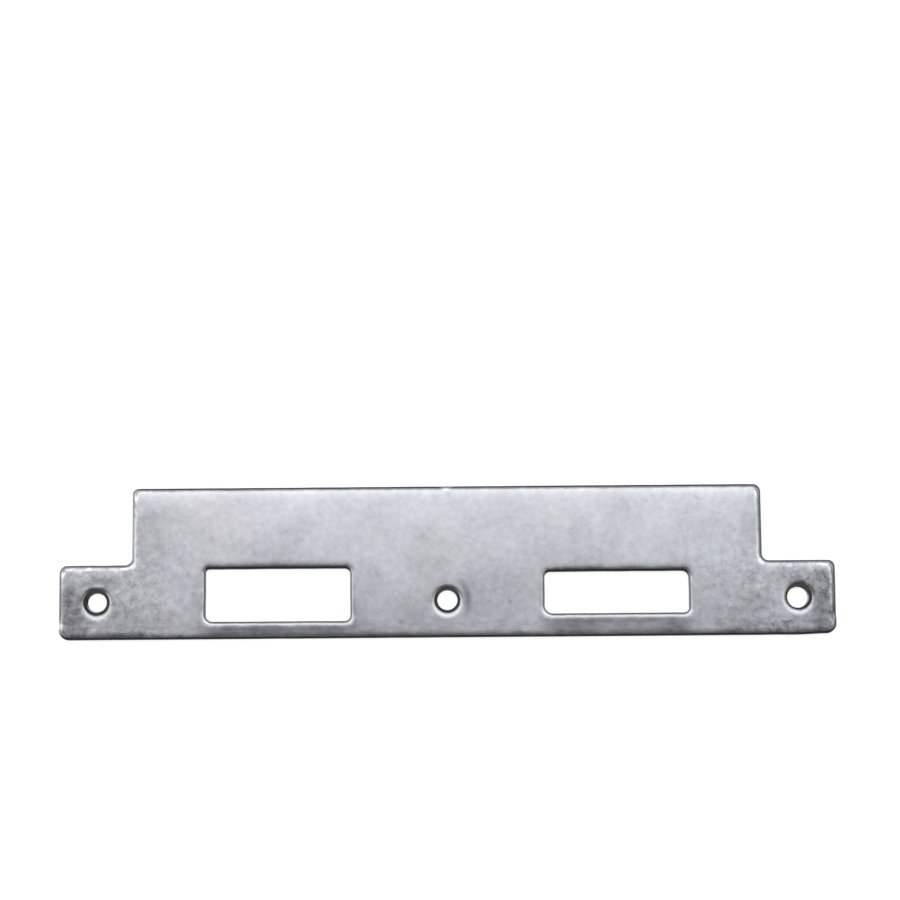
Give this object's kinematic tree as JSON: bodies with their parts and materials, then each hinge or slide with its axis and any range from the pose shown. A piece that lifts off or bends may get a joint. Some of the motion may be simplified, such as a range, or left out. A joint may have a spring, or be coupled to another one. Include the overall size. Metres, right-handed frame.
{
  "type": "door strike plate",
  "caption": "Flat punched steel plate for a door frame, with windows that receive a mortice lock's latch and bolt, countersunk screw holes and a long lip that guides the latch in.",
  "frame": {"origin": "on the axis of the middle screw hole, in the plane of the plate's flat back", "axes": "+X along the strip from the latch window to the bolt window, +Y from the screws towards the lip's free edge, +Z out of the countersunk face"},
  "size_m": [0.235, 0.046, 0.0025],
  "materials": {
    "zinc_plated_steel": "satin zinc plate, lightly mottled and scuffed, with bright rolled edges"
  },
  "bodies": {
    "root": {"strike_plate": "zinc_plated_steel"}
  },
  "joints": []
}
